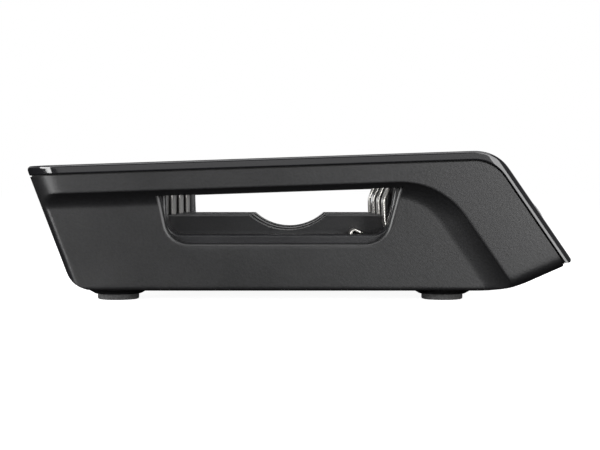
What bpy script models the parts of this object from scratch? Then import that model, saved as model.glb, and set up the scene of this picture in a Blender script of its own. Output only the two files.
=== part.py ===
"""A four-bay charger for AA and AAA cells: a low wedge that stands on four feet.

World frame: +X points to the user (the sloping display panel), +Y to the left of someone
who looks along +X, +Z up. The origin is on the surface that the charger stands on, in the
middle of its footprint. Lengths below are in millimetres; MM turns them into metres.
"""

from math import ceil, cos, pi, radians, sin, tan

import bmesh
import bpy
from mathutils import Matrix, Vector

MM = 0.001

# ---- Driving dimensions, in millimetres ----
HALF_WIDTH = 46.0
RECESS_DEPTH = 3.0
RECESS_TOP = (0.0, 24.35)
RECESS_FRONT = (34.9, 17.3)
RECESS_RADIUS = 16.5
RECESS_BLEND_TOP = 3.25
RECESS_BLEND_FRONT = 4.9
RECESS_BLEND_RADIUS = 4.0
WINDOW_BELOW_HOOD = 1.0
PANEL_Y = HALF_WIDTH - RECESS_DEPTH
WALL = 2.0
GAP = 0.3
CLEAR = 0.02
COVER_THICKNESS = 1.9

BOTTOM_Z = 2.3
TIP_X = 56.7
TIP_TOP_Z = 9.6
TIP_LOW_Z = 8.05
SHOULDER = (40.9, 31.85)
REAR_FOOT_X = -48.38
TOP_ANGLE = 1.94
SLOPE_ANGLE = -55.4
UNDER_ANGLE = 203.8
REAR_ANGLE = 110.7

SHOULDER_RADIUS = 9.8
REAR_TOP_RADIUS = 1.3
REAR_LOW_RADIUS = 8.0
UNDER_RADIUS = 30.0
REAR_CORNER_RADIUS = 7.5
FRONT_CORNER_RADIUS = 3.0
UNDER_EDGE_RADIUS = 3.5

BAYS = 4
BAY_PITCH = 20.0
BAY_CENTRES = [(i - (BAYS - 1) / 2) * BAY_PITCH for i in range(BAYS)]
GROOVE_HALF = 5.4
AAA_AXIS_Z = 14.6
ISLAND_TOP_Z = 18.0
TRAY_X = (-32.5, 26.0)
TRAY_Z = (7.4, 24.8)
TRAY_HALF = 40.6
WELL_X = (-30.3, 24.6)
WELL_HALF = 38.4
TRENCH_X = 9.6
NOTCH_X = -2.7
NOTCH_CHORD = 17.6
NOTCH_DEPTH = 3.4

WINDOW = {"low_z": 12.35, "low_x": (-27.4, 17.6), "angles": (101.2, 75.0), "radius": 5.0}
CUTOUT = {"low_z": 14.1, "low_x": (-28.2, 18.3), "angles": (92.0, 80.0), "radius": 3.3}
CUTOUT_LIFT = 6.0

CONTACT_WIDTH = 9.0
CONTACT_THICKNESS = 0.45
POSITIVE_X = -29.75
AA_HINGE = (21.2, 7.2)
AAA_HINGE = (15.4, 7.2)

BOARD_Z = (5.0, 6.2)
BASE_X = (-47.9, 38.0)
BASE_HALF = 40.9

FOOT_RADIUS = 4.45
FOOT_HEIGHT = 2.4
FOOT_PLACES = [(-39.4, -34.0), (-39.4, 34.0), (30.8, -34.0), (30.8, 34.0)]
SCREW_PLACES = [(-18.0, -20.0), (-18.0, 20.0), (6.0, -20.0), (6.0, 20.0)]

JACK_Y = 24.0
JACK_Z = 11.2
JACK_X = (-47.1, -35.5)

DISPLAY_SIZE = (50.0, 13.0)
BUTTON_SIZE = (11.0, 6.0)
BUTTON_Y = 34.0
BUTTON_PROUD = 0.7
PANEL_CENTRE_X = 50.3

ARC_STEP = radians(10)


# ---- Outlines ----

def line(point, degrees):
    """A straight line through a point, running at an angle to the horizontal."""
    angle = radians(degrees)
    return Vector(point), Vector((cos(angle), sin(angle)))


def moved(edge, distance):
    """The line moved to its right, which is inwards on the clockwise profile."""
    point, along = edge
    return point + Vector((along.y, -along.x)) * distance, along


def meet(first, second):
    """The point where two lines cross."""
    (a, u), (b, v) = first, second
    cross = u.x * v.y - u.y * v.x
    reach = ((b.x - a.x) * v.y - (b.y - a.y) * v.x) / cross
    return a + u * reach


TOP = line(SHOULDER, TOP_ANGLE)
SLOPE = line((TIP_X, TIP_TOP_Z), SLOPE_ANGLE)
TIP = line((TIP_X, TIP_TOP_Z), -90)
UNDER = line((TIP_X, TIP_LOW_Z), UNDER_ANGLE)
BOTTOM = line((0, BOTTOM_Z), 180)
REAR = line((REAR_FOOT_X, BOTTOM_Z), REAR_ANGLE)


def corner(first, second, radius=0.0):
    point = meet(first, second)
    return point.x, point.y, radius


def arc(start, centre, sweep):
    """Points from start, turning round the centre by a signed angle."""
    steps = max(2, ceil(abs(sweep) / ARC_STEP))
    arm = start - centre
    for i in range(steps + 1):
        angle = sweep * i / steps
        yield centre + Vector((arm.x * cos(angle) - arm.y * sin(angle),
                               arm.x * sin(angle) + arm.y * cos(angle)))


def rounded(corners, closed=True):
    """An outline from (x, y, radius) corners, with an arc at each corner that has a radius."""
    outline = []
    count = len(corners)
    for i, (x, y, radius) in enumerate(corners):
        here = Vector((x, y))
        is_end = not closed and i in (0, count - 1)
        if radius == 0 or is_end:
            outline.append(here)
            continue
        back = (Vector(corners[i - 1][:2]) - here).normalized()
        ahead = (Vector(corners[(i + 1) % count][:2]) - here).normalized()
        half = back.angle(ahead) / 2
        centre = here + (back + ahead).normalized() * radius / sin(half)
        turn = ahead.x * back.y - ahead.y * back.x
        sweep = (pi - 2 * half) * (1 if turn > 0 else -1)
        outline.extend(arc(here + back * radius / tan(half), centre, sweep))
    return outline


def rectangle(x_range, y_range, radius=0.0):
    (x0, x1), (y0, y1) = x_range, y_range
    return rounded([(x0, y0, radius), (x1, y0, radius), (x1, y1, radius), (x0, y1, radius)])


def circle(centre, radius, steps=28):
    return [Vector((centre[0] + radius * cos(2 * pi * i / steps),
                    centre[1] + radius * sin(2 * pi * i / steps))) for i in range(steps)]


def strip(corners, thickness):
    """The outline of a bent strip that follows an open path of (x, y, radius) corners."""
    path = rounded(corners, closed=False)
    left, right = [], []
    for i, point in enumerate(path):
        back = (point - path[i - 1]).normalized() if i > 0 else None
        ahead = (path[i + 1] - point).normalized() if i < len(path) - 1 else None
        along = ((back or ahead) + (ahead or back)).normalized()
        across = Vector((-along.y, along.x))
        stretch = 1 / across.dot(Vector((-(back or ahead).y, (back or ahead).x)))
        left.append(point + across * stretch * thickness / 2)
        right.append(point - across * stretch * thickness / 2)
    return left + right[::-1]


def body_profile(top, slope, under, bottom, rear, radii):
    """The wedge's side outline with each edge moved inwards by its own distance."""
    edges = [moved(REAR, rear), moved(TOP, top), moved(SLOPE, slope),
             moved(UNDER, under), moved(BOTTOM, bottom)]
    return rounded([corner(edges[i], edges[(i + 1) % 5], radii[i]) for i in range(5)])


# ---- Solids ----

AXES = {
    "XZ": lambda a, b, c: Vector((a, c, b)),
    "XY": lambda a, b, c: Vector((a, b, c)),
    "YZ": lambda a, b, c: Vector((c, a, b)),
}


def new_object(name, mesh, parent=None, place=(0, 0, 0)):
    item = bpy.data.objects.new(name, mesh)
    bpy.context.scene.collection.objects.link(item)
    item.location = Vector(place) * MM
    item.parent = parent
    return item


def solid(name, rings, parent, place):
    """A closed solid through matching rings of points, with flat ends."""
    mesh = bpy.data.meshes.new(name)
    form = bmesh.new()
    rings = [[form.verts.new(point * MM) for point in ring] for ring in rings]
    form.faces.new(rings[0])
    form.faces.new(rings[-1])
    count = len(rings[0])
    for lower, upper in zip(rings, rings[1:]):
        for i in range(count):
            j = (i + 1) % count
            form.faces.new((lower[i], lower[j], upper[j], upper[i]))
    bmesh.ops.recalc_face_normals(form, faces=form.faces)
    form.to_mesh(mesh)
    form.free()
    return new_object(name, mesh, parent, place)


def loft(name, plane, levels, parent=None, place=(0, 0, 0)):
    """A solid through (outline, level) pairs, whose outlines have the same point count."""
    to_space = AXES[plane]
    rings = [[to_space(p.x, p.y, level) for p in outline] for outline, level in levels]
    return solid(name, rings, parent, place)


def prism(name, plane, outline, low, high, lean=0.0, parent=None, place=(0, 0, 0)):
    """An outline in one plane, extruded along the third axis and leaning by lean in X."""
    to_space = AXES[plane]
    rings = [[to_space(p.x, p.y, level) + Vector((lean * level, 0, 0)) for p in outline]
             for level in (low, high)]
    return solid(name, rings, parent, place)


def turned(name, profile, steps=28, parent=None, place=(0, 0, 0)):
    """A solid of revolution about Z from a list of (radius, height) pairs, low to high."""
    rings = [[Vector((radius * cos(2 * pi * i / steps), radius * sin(2 * pi * i / steps), height))
              for i in range(steps)] for radius, height in profile]
    return solid(name, rings, parent, place)


def combine(target, tool, operation="DIFFERENCE"):
    """Cut, join or keep what two solids share. The tool itself isn't part of the model."""
    tool.hide_render = True
    tool.display_type = "WIRE"
    change = target.modifiers.new(tool.name, "BOOLEAN")
    change.operation = operation
    change.solver = "EXACT"
    change.object = tool
    return target


def finish(item, colour, roughness, metallic=0.0):
    """Give a part its own material and smooth shading with sharp edges kept."""
    material = bpy.data.materials.new(item.name)
    material.use_nodes = True
    shader = material.node_tree.nodes["Principled BSDF"]
    shader.inputs["Base Color"].default_value = (*colour, 1.0)
    shader.inputs["Roughness"].default_value = roughness
    shader.inputs["Metallic"].default_value = metallic
    item.data.materials.append(material)
    item.data.shade_smooth()
    item.data.set_sharp_from_angle(angle=radians(30))
    return item


MATTE_BLACK = (0.030, 0.030, 0.032)
GLOSS_BLACK = (0.008, 0.008, 0.009)
RUBBER = (0.018, 0.018, 0.018)
NICKEL = (0.72, 0.70, 0.66)
BOARD_GREEN = (0.020, 0.120, 0.045)
SMOKED = (0.030, 0.034, 0.036)
WHITE_PLASTIC = (0.78, 0.79, 0.76)
COPPER = (0.62, 0.30, 0.14)
STEEL = (0.42, 0.42, 0.43)


# ---- Casing ----

def corner_tools():
    """Prisms that trim the casing's sides and round its corners, along the rake and slope.

    Their flat ends stand CLEAR off the profile's own faces, so no two faces coincide.
    """
    rear_lean = 1 / tan(radians(REAR_ANGLE))
    rear_foot = REAR_FOOT_X - BOTTOM_Z * rear_lean - CLEAR
    rear = rounded([(rear_foot, -HALF_WIDTH, REAR_CORNER_RADIUS), (90, -HALF_WIDTH, 0),
                    (90, HALF_WIDTH, 0), (rear_foot, HALF_WIDTH, REAR_CORNER_RADIUS)])
    front_lean = 1 / tan(radians(SLOPE_ANGLE))
    front_foot = TIP_X - TIP_TOP_Z * front_lean + CLEAR
    side = HALF_WIDTH + CLEAR
    front = rounded([(-90, -side, 0), (front_foot, -side, FRONT_CORNER_RADIUS),
                     (front_foot, side, FRONT_CORNER_RADIUS), (-90, side, 0)])
    return [prism("rear_corners", "XY", rear, -5, 40, lean=rear_lean),
            prism("front_corners", "XY", front, -5, 40, lean=front_lean)]


def under_edges():
    """A prism along the rising underside that rounds its two long edges."""
    angle = radians(UNDER_ANGLE - 180)
    side = HALF_WIDTH + CLEAR
    section = rounded([(-side, -CLEAR, UNDER_EDGE_RADIUS), (side, -CLEAR, UNDER_EDGE_RADIUS),
                       (side, 120, 0), (-side, 120, 0)])
    tool = prism("under_edges", "YZ", section, -160, 60, place=(TIP_X, 0, TIP_LOW_Z))
    tool.rotation_euler.y = -angle
    return tool


def recess_outline(share):
    """The side recess at a share of its depth: 0 at the hood's surface, 1 at the panel's.

    The hood overhangs it along the top and down the front, and it runs out elsewhere.
    """
    top = moved(line(RECESS_TOP, TOP_ANGLE), share * RECESS_BLEND_TOP)
    front = moved(line(RECESS_FRONT, SLOPE_ANGLE), share * RECESS_BLEND_FRONT)
    low = line((0, -20), 180)
    back = line((-80, 0), 90)
    radius = RECESS_RADIUS - share * RECESS_BLEND_RADIUS
    return rounded([corner(back, top), corner(top, front, radius), corner(front, low),
                    corner(low, back)])


def recess(side):
    """The cutter for one side's recess, narrowing from the hood's surface to the panel's."""
    stages = [(-0.6, 6.0), (0.0, 0.0), (0.35, -1.6), (0.7, -2.6), (1.0, -RECESS_DEPTH)]
    rings = [(recess_outline(max(share, 0.0)), side * (HALF_WIDTH + rise))
             for share, rise in stages]
    return loft(f"recess_{side}", "XZ", rings)


def opening_outline(low_z, low_x, angles, radius, lift=0.0):
    """A side opening with rounded lower corners, from low_z up to the hood plus a lift."""
    low = line((0, low_z), 0)
    left, right = [line((x, low_z), angle) for x, angle in zip(low_x, angles)]
    top = moved(line(RECESS_TOP, TOP_ANGLE), WINDOW_BELOW_HOOD - lift)
    return rounded([corner(left, low, radius), corner(low, right, radius),
                    corner(right, top), corner(top, left)])


def main_housing(corners, panel_tools):
    outline = body_profile(COVER_THICKNESS + GAP, COVER_THICKNESS + GAP, 0, 0, 0,
                           (0.4, SHOULDER_RADIUS - 2.2, 0.4, UNDER_RADIUS, REAR_LOW_RADIUS))
    housing = prism("main_housing", "XZ", outline, -HALF_WIDTH - 1, HALF_WIDTH + 1)
    for tool in corners:
        combine(housing, tool, "INTERSECT")
    combine(housing, under_edges(), "INTERSECT")
    for side in (-1, 1):
        combine(housing, recess(side))
    under_cover = COVER_THICKNESS + GAP + WALL
    cavity = body_profile(under_cover, under_cover, WALL, WALL, WALL, (1, 5.6, 1, 28, 6))
    combine(housing, prism("cavity", "XZ", cavity, WALL - PANEL_Y, PANEL_Y - WALL))
    combine(housing, prism("base_opening", "XY",
                           rectangle((BASE_X[0] - GAP, BASE_X[1] + GAP),
                                     (-BASE_HALF - GAP, BASE_HALF + GAP), 4), -1, 7.5))
    combine(housing, prism("bay_opening", "XY",
                           rectangle((TRAY_X[0] + 0.6, TRAY_X[1] - 0.6),
                                     (-TRAY_HALF + 0.6, TRAY_HALF - 0.6), 3), 20, 40))
    combine(housing, prism("side_windows", "XZ", opening_outline(**WINDOW), -60, 60))
    combine(housing, prism("jack_hole", "YZ", circle((JACK_Y, JACK_Z), 4.4), -70, -40))
    for tool in panel_tools:
        combine(housing, tool)
    return finish(housing, MATTE_BLACK, 0.62)


def top_cover(corners, panel_tools):
    """The glossy plate over the top, the shoulder and the front slope."""
    inner_top = moved(TOP, COVER_THICKNESS)
    inner_slope = moved(SLOPE, COVER_THICKNESS)
    end = line((0, TIP_LOW_Z + GAP), 180)
    outline = rounded([corner(REAR, TOP, REAR_TOP_RADIUS), corner(TOP, SLOPE, SHOULDER_RADIUS),
                       corner(SLOPE, TIP, 0.4), corner(TIP, end), corner(end, inner_slope),
                       corner(inner_slope, inner_top, SHOULDER_RADIUS - COVER_THICKNESS),
                       corner(inner_top, REAR)])
    cover = prism("top_cover", "XZ", outline, -HALF_WIDTH - 1, HALF_WIDTH + 1)
    for tool in corners:
        combine(cover, tool, "INTERSECT")
    combine(cover, prism("cover_opening", "XY",
                         rectangle((-31.0, 22.0), (-39.4, 39.4), 3.5), 20, 40))
    for tool in panel_tools:
        combine(cover, tool)
    return finish(cover, GLOSS_BLACK, 0.12)


def base_cover():
    """The panel that closes the casing from below, with a boss for each foot."""
    outline = body_profile(20, 2, 0, 0, 0, (0, 0, 0, UNDER_RADIUS, REAR_LOW_RADIUS))
    base = prism("base_cover", "XZ", outline, -BASE_HALF, BASE_HALF)
    combine(base, prism("base_edge", "XY",
                        rectangle(BASE_X, (-BASE_HALF, BASE_HALF), 3.7), -5, 7.2), "INTERSECT")
    hollow = body_profile(4, 4, WALL, WALL, WALL, (0, 0, 0, 28, 6))
    combine(base, prism("base_hollow", "XZ", hollow, -60, 60))
    for i, (x, y) in enumerate(FOOT_PLACES):
        boss = turned(f"foot_boss_{i}", [(5.0, 1.25), (6.8, 2.3), (6.8, 4.2)], place=(x, y, 0))
        combine(base, boss, "UNION")
        seat = turned(f"foot_seat_{i}", [(FOOT_RADIUS + GAP, 0), (FOOT_RADIUS + GAP, 2.7)],
                      place=(x, y, 0))
        combine(base, seat)
    for i, (x, y) in enumerate(SCREW_PLACES):
        seat = turned(f"screw_seat_{i}", [(2.9, 0), (2.9, 3.6), (1.7, 3.6), (1.7, 8)], 20,
                      place=(x, y, 0))
        combine(base, seat)
    for i in range(5):
        y = (i - 2) * 4.0
        combine(base, prism(f"vent_{i}", "XY", rectangle((-12, 2), (y - 0.9, y + 0.9)), 0, 8))
    return finish(base, MATTE_BLACK, 0.70)


# ---- Cell bays ----

def bay_tray():
    """The moulding that holds the cells: AA cells lie on the islands, AAA cells between."""
    tray = prism("bay_tray", "XY", rectangle(TRAY_X, (-TRAY_HALF, TRAY_HALF), 2.5), *TRAY_Z)
    combine(tray, prism("well", "XY", rectangle(WELL_X, (-WELL_HALF, WELL_HALF), 2),
                        ISLAND_TOP_Z, 40))
    for i, y in enumerate(BAY_CENTRES):
        groove = rounded([(y - GROOVE_HALF, 40, 0),
                          (y - GROOVE_HALF, AAA_AXIS_Z - GROOVE_HALF, GROOVE_HALF - 0.05),
                          (y + GROOVE_HALF, AAA_AXIS_Z - GROOVE_HALF, GROOVE_HALF - 0.05),
                          (y + GROOVE_HALF, 40, 0)])
        combine(tray, prism(f"groove_{i}", "YZ", groove, WELL_X[0], TRENCH_X + 1))
        sides = (y - GROOVE_HALF, y + GROOVE_HALF)
        combine(tray, prism(f"trench_{i}", "XY", rectangle((TRENCH_X, WELL_X[1]), sides), 5, 40))
        combine(tray, prism(f"slot_{i}", "XY",
                            rectangle((WELL_X[0], WELL_X[0] + 1.4), (y - 2.6, y + 2.6)), 5, 20))
    radius = (NOTCH_CHORD ** 2 / 4 + NOTCH_DEPTH ** 2) / (2 * NOTCH_DEPTH)
    notch = circle((NOTCH_X, ISLAND_TOP_Z - NOTCH_DEPTH + radius), radius, 60)
    combine(tray, prism("thumb_notch", "XZ", notch, -WELL_HALF + 0.5, WELL_HALF - 0.5))
    outer = abs(BAY_CENTRES[0]) + GROOVE_HALF - 0.5
    for side in (-1, 1):
        low, high = sorted((side * outer, side * 60))
        cutout = opening_outline(**CUTOUT, lift=CUTOUT_LIFT)
        combine(tray, prism(f"tray_cutout_{side}", "XZ", cutout, low, high))
    for i, (x, y) in enumerate(SCREW_PLACES):
        post = turned(f"screw_post_{i}", [(3.0, 4.6), (3.0, 8.0)], 20, place=(x, y, 0))
        combine(tray, post, "UNION")
        bore = turned(f"screw_bore_{i}", [(1.5, 4), (1.5, 12.4)], 20, place=(x, y, 0))
        combine(tray, bore)
    return finish(tray, MATTE_BLACK, 0.58)


def positive_contact(number, y):
    """A plate against the rear wall of a bay, with a tail down to the board."""
    plate = prism(f"positive_contact_{number}", "YZ",
                  rounded([(-2, 6.5, 0), (2, 6.5, 0), (2, 10, 0), (4.0, 12, 0), (4.0, 22.6, 1),
                           (-4.0, 22.6, 1), (-4.0, 12, 0), (-2, 10, 0)]),
                  -CONTACT_THICKNESS / 2, CONTACT_THICKNESS / 2, place=(POSITIVE_X, y, 0))
    return finish(plate, NICKEL, 0.28, 1.0)


def leaf_contact(name, hinge, corners, y):
    """A sprung negative contact. Its origin is on the bend that it flexes about."""
    path = [(x - hinge[0], z - hinge[1], radius) for x, z, radius in corners]
    half = CONTACT_WIDTH / 2
    leaf = prism(name, "XZ", strip(path, CONTACT_THICKNESS), -half, half,
                 place=(hinge[0], y, hinge[1]))
    return finish(leaf, NICKEL, 0.26, 1.0)


def contacts():
    """The AA leaves stand tall at the front of the bays, the AAA leaves low before them."""
    aa_path = [(21.2, 6.8, 0), (21.2, 9.6, 2), (18.5, 16.4, 6), (18.3, 21.6, 4), (20.1, 25.6, 0)]
    aaa_path = [(15.4, 6.8, 0), (15.2, 8.6, 2), (10.7, 14.0, 1), (11.7, 15.0, 0.7), (13.9, 14.0, 0)]
    for number, y in enumerate(BAY_CENTRES, start=1):
        positive_contact(number, y)
        leaf_contact(f"aa_contact_{number}", AA_HINGE, aa_path, y)
        leaf_contact(f"aaa_contact_{number}", AAA_HINGE, aaa_path, y)


# ---- Display panel on the front slope ----

def front_panel():
    """An empty on the slope: local X is across the charger, Y up the slope, Z outwards."""
    along = SLOPE[1]
    centre_z = TIP_TOP_Z + (PANEL_CENTRE_X - TIP_X) * along.y / along.x
    up = Vector((-along.x, 0, -along.y))
    out = Vector((-along.y, 0, along.x))
    across = up.cross(out)
    panel = bpy.data.objects.new("front_panel", None)
    bpy.context.scene.collection.objects.link(panel)
    turn = Matrix((across, up, out)).transposed().to_4x4()
    panel.matrix_world = Matrix.Translation(Vector((PANEL_CENTRE_X, 0, centre_z)) * MM) @ turn
    return panel


def pill(size, grow=0.0):
    half_x, half_y = size[0] / 2 + grow, size[1] / 2 + grow
    return rectangle((-half_x, half_x), (-half_y, half_y), half_y - 0.05)


def plate(size, radius=0.0, grow=0.0):
    half_x, half_y = size[0] / 2 + grow, size[1] / 2 + grow
    return rectangle((-half_x, half_x), (-half_y, half_y), radius)


def shifted(outline, x, y=0.0):
    return [point + Vector((x, y)) for point in outline]


def panel_openings(panel):
    """The cutters through the cover and the housing for the display and the buttons."""
    cover_tools = [prism("cover_display", "XY", plate(DISPLAY_SIZE, 1.5, GAP), -2.05, 3,
                         parent=panel)]
    housing_tools = [prism("housing_display", "XY", plate((46.6, 10.6), 0.5), -8, -2.05,
                           parent=panel)]
    for side in (-1, 1):
        hole = shifted(pill(BUTTON_SIZE, GAP), side * BUTTON_Y)
        cover_tools.append(prism(f"cover_button_{side}", "XY", hole, -2.05, 3, parent=panel))
        housing_tools.append(prism(f"housing_button_{side}", "XY", hole, -6, -2.05,
                                   parent=panel))
    return cover_tools, housing_tools


def display_stack(panel):
    """Window, liquid-crystal panel, light guide and board, one behind the other."""
    window = prism("display_window", "XY", plate(DISPLAY_SIZE, 1.3), -1.5, -0.05, parent=panel)
    finish(window, SMOKED, 0.06)
    panel_glass = prism("lcd_panel", "XY", plate((46.0, 10.0)), -4.2, -2.3, parent=panel)
    finish(panel_glass, (0.35, 0.40, 0.33), 0.15)
    guide = prism("light_guide", "XY", plate((44.0, 9.6)), -7.6, -4.5, parent=panel)
    finish(guide, WHITE_PLASTIC, 0.35)
    board = prism("display_board", "XY", rectangle((-39.5, 39.5), (-6.0, 7.5)), -9.1, -7.9,
                  parent=panel)
    finish(board, BOARD_GREEN, 0.45)
    connector = prism("display_connector", "XY", rectangle((10, 24), (-3.5, 0.5)), -11.2, -9.4,
                      parent=panel)
    finish(connector, WHITE_PLASTIC, 0.5)


def button(name, panel, side):
    """A cap that stands proud of the cover, with a flange that keeps it in the housing."""
    centre = (side * BUTTON_Y, 0, 0)
    cap = prism(f"{name}_button", "XY", pill(BUTTON_SIZE), -5.0, BUTTON_PROUD, parent=panel,
                place=centre)
    flange = prism(f"{name}_flange", "XY", pill(BUTTON_SIZE, 1.2), -5.2, -4.55, parent=panel,
                   place=centre)
    combine(cap, flange, "UNION")
    finish(cap, GLOSS_BLACK, 0.3)
    switch = prism(f"{name}_switch", "XY", plate((6.0, 6.0), 0.4), -7.6, -5.9, parent=panel,
                   place=centre)
    bore = turned(f"{name}_bore", [(1.7, -7.2), (1.7, -5)], 20, parent=panel, place=centre)
    combine(switch, bore)
    finish(switch, STEEL, 0.35, 0.6)
    plunger = turned(f"{name}_plunger", [(1.35, -6.6), (1.35, -5.5)], 20, parent=panel,
                     place=centre)
    finish(plunger, RUBBER, 0.5)


# ---- Electronics ----

def main_board():
    board = prism("main_board", "XY", rectangle((-44.7, 33.0), (-38.5, 38.5), 1), *BOARD_Z)
    for i, (x, y) in enumerate(SCREW_PLACES):
        hole = turned(f"post_hole_{i}", [(3.4, 4), (3.4, 8)], 20, place=(x, y, 0))
        combine(board, hole)
    return finish(board, BOARD_GREEN, 0.45)


def dc_jack():
    """The low-voltage inlet at the back of the board, with its pin along X."""
    low_z = BOARD_Z[1] + GAP
    jack = prism("dc_jack", "YZ",
                 rectangle((JACK_Y - 4.5, JACK_Y + 4.5), (low_z, JACK_Z + 4.7), 0.6), *JACK_X)
    combine(jack, prism("jack_bore", "YZ", circle((JACK_Y, JACK_Z), 3.1),
                        JACK_X[0] - 3, JACK_X[1] - 2))
    finish(jack, MATTE_BLACK, 0.4)
    pin = prism("jack_pin", "YZ", circle((JACK_Y, JACK_Z), 1.05, 16),
                JACK_X[0] + 1, JACK_X[1] - 2.3)
    finish(pin, NICKEL, 0.25, 1.0)


def board_parts():
    """The converter at the back of the board and the controller at its front."""
    low_z = BOARD_Z[1] + GAP
    coil = turned("inductor", [(4.6, 0), (4.6, 1.4), (3.7, 1.8), (3.7, 5.2), (4.6, 5.6), (4.6, 7)],
                  24, place=(-38.0, 8.0, low_z))
    finish(coil, COPPER, 0.4, 0.5)
    for name, y in (("input_capacitor", -3.0), ("output_capacitor", -12.0)):
        can = turned(name, [(3.15, 0), (3.15, 1.0), (2.95, 1.3), (3.15, 1.6), (3.15, 10.6),
                            (2.8, 11.0)], 24, place=(-38.0, y, low_z))
        finish(can, (0.05, 0.07, 0.16), 0.35, 0.2)
    for number, y in enumerate((-22.0, -31.0), start=1):
        chip = prism(f"power_transistor_{number}", "XY", plate((6.1, 6.6), 0.3), 0, 2.3,
                     place=(-38.0, y, low_z))
        finish(chip, RUBBER, 0.5)
    controller = prism("controller_chip", "XY", plate((5.0, 9.0), 0.2), 0, 1.2,
                       place=(29.6, -8.0, low_z))
    finish(controller, RUBBER, 0.5)
    socket = prism("board_connector", "XY", rectangle((27.0, 30.4), (-24, -10)), 0, 2.2,
                   place=(0, 27.0, low_z))
    finish(socket, WHITE_PLASTIC, 0.5)


def ribbon_cable(panel):
    """The flat lead from the main board's connector up to the display board's."""
    start = (29.0, BOARD_Z[1] + GAP + 2.2 + GAP, 0)
    end = panel.matrix_world @ (Vector((17, -1.5, -11.5)) * MM) / MM
    path = [start, (29.0, 13.0, 2.5), (34.0, 15.5, 3.0), (end.x - 1.5, end.z - 1.0, 0)]
    lead = prism("ribbon_cable", "XZ", strip(path, 0.4), end.y - 6, end.y + 6)
    return finish(lead, (0.70, 0.70, 0.68), 0.5)


# ---- Fasteners and feet ----

def feet():
    for number, (x, y) in enumerate(FOOT_PLACES, start=1):
        foot = turned(f"foot_{number}", [(FOOT_RADIUS - 0.35, 0), (FOOT_RADIUS, 0.35),
                                         (FOOT_RADIUS, FOOT_HEIGHT)], place=(x, y, 0))
        finish(foot, RUBBER, 0.85)


def case_screws():
    """Countersunk screws, up through the base into the tray's posts, with a cross recess."""
    for number, (x, y) in enumerate(SCREW_PLACES, start=1):
        screw = turned(f"case_screw_{number}", [(2.5, 2.5), (2.5, 3.3), (1.2, 3.31), (1.2, 12.0)],
                       20, place=(x, y, 0))
        for axis, size in (("a", (3.0, 0.6)), ("b", (0.6, 3.0))):
            slot = prism(f"drive_{number}{axis}", "XY", plate(size), 2, 3.0, place=(x, y, 0))
            combine(screw, slot)
        finish(screw, STEEL, 0.3, 1.0)


def main():
    for item in list(bpy.data.objects):
        bpy.data.objects.remove(item, do_unlink=True)
    corners = corner_tools()
    panel = front_panel()
    cover_tools, housing_tools = panel_openings(panel)
    main_housing(corners, housing_tools)
    top_cover(corners, cover_tools)
    base_cover()
    bay_tray()
    contacts()
    display_stack(panel)
    button("select", panel, -1)
    button("mode", panel, 1)
    main_board()
    dc_jack()
    board_parts()
    ribbon_cable(panel)
    feet()
    case_screws()


main()
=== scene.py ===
"""The looks of a four-bay desktop charger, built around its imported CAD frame.

Shapes are worked out in millimetres (MM turns them into metres). X is along the charger, +X to
its sloping front; Y is across it; Z is up from the surface that it stands on.
"""

from math import cos, pi, radians, sin, tan

import bmesh
import bpy
import numpy as np
from mathutils import Matrix, Vector


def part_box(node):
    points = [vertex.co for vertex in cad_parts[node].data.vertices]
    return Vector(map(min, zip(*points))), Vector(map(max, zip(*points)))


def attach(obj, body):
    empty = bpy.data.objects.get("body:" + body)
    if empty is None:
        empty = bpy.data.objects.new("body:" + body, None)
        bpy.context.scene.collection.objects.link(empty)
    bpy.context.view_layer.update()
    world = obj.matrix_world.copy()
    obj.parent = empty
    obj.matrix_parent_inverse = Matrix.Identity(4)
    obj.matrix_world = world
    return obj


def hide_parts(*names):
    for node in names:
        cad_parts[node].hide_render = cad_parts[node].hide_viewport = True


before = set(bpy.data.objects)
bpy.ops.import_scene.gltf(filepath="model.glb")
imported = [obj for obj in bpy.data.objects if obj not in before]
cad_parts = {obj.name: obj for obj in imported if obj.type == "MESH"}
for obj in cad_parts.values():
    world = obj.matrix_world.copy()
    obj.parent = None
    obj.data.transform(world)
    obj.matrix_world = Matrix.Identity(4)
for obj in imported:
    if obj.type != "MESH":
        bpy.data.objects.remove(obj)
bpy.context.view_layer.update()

MM = 0.001


def span(node, axis):
    """The lowest and highest coordinate of a CAD node along one axis, in millimetres."""
    low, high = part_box(node)
    return low[axis] / MM, high[axis] / MM


# ---- Sizes ----

TIP_X = span("top_cover", 0)[1]
HALF_WIDTH = span("top_cover", 1)[1]
BOTTOM_Z = span("main_housing", 2)[0]
TIP_LOW_Z = 8.05
TIP_TOP_Z = 9.6
SHOULDER = (40.9, 31.85)
REAR_FOOT_X = -48.38
TOP_ANGLE = 1.94
SLOPE_ANGLE = -55.4
UNDER_ANGLE = 203.8
REAR_ANGLE = 110.7
SHOULDER_RADIUS = 9.8
REAR_LOW_RADIUS = 8.0
UNDER_RADIUS = 30.0
REAR_CORNER_RADIUS = 7.5
FRONT_CORNER_RADIUS = 3.0
COVER_THICKNESS = 1.9
COVER_GAP = 0.3
WALL = 2.0

RECESS_DEPTH = 3.0
PANEL_Y = HALF_WIDTH - RECESS_DEPTH
RECESS_TOP = (0.0, 24.35)
RECESS_FRONT = (34.9, 17.3)
RECESS_RADIUS = 16.5
RECESS_BLEND_TOP = 3.25
RECESS_BLEND_FRONT = 4.9
RECESS_BLEND_RADIUS = 4.0

WINDOW = {"low_z": 12.35, "low_x": (-27.4, 17.6), "angles": (101.2, 75.0), "radius": 5.0}
CUTOUT = {"low_z": 14.1, "low_x": (-28.2, 18.3), "angles": (92.0, 80.0), "radius": 3.3,
          "lift": 6.0}
WINDOW_BELOW_HOOD = 1.0
WINDOW_FLARE = 0.9
CUTOUT_FLARE = 0.6

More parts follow.
